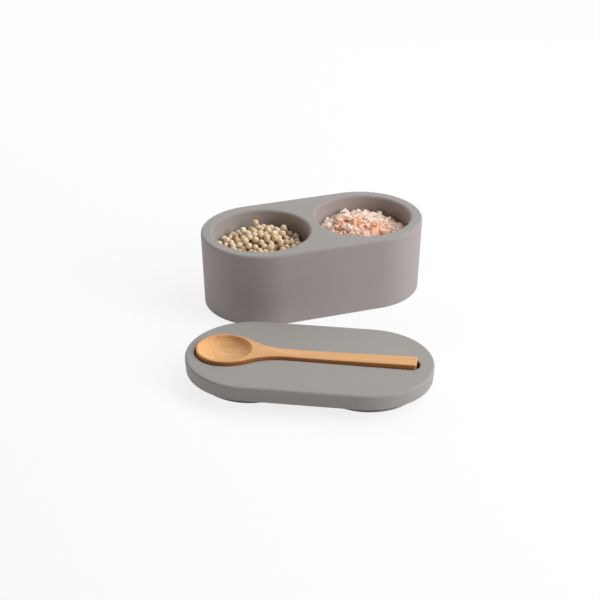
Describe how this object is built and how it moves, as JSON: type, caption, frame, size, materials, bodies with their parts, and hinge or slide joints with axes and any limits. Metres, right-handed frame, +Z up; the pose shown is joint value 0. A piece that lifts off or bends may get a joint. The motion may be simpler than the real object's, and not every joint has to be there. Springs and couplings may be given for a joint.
{
  "type": "spice box",
  "caption": "Obround cast spice box with side-by-side round wells, a plugged lid laid in front of it and a wooden spoon seated in a recess of the lid.",
  "frame": {"origin": "centre of the flat underside of the box", "axes": "+X along the box from the pepper well to the salt well, +Y to the box's back, away from the lid laid in front, +Z up"},
  "size_m": [0.2065, 0.2281, 0.0555],
  "materials": {
    "cast_mineral": "matte",
    "spoon_wood": "satin",
    "white_pepper": "matte",
    "salt_crystals": "satin"
  },
  "bodies": {
    "box": {"box": "cast_mineral", "peppercorns": "white_pepper", "pink_salt": "salt_crystals"},
    "lid": {"lid": "cast_mineral"},
    "spoon": {"spoon": "spoon_wood"}
  },
  "joints": [
    {"name": "lid_lift", "type": "slide", "parent": "box", "child": "lid", "axis": [0, 0, 1], "range_m": [0, 0.12]},
    {"name": "spoon_lift", "type": "slide", "parent": "lid", "child": "spoon", "axis": [0, 0, 1], "range_m": [0, 0.06]}
  ]
}
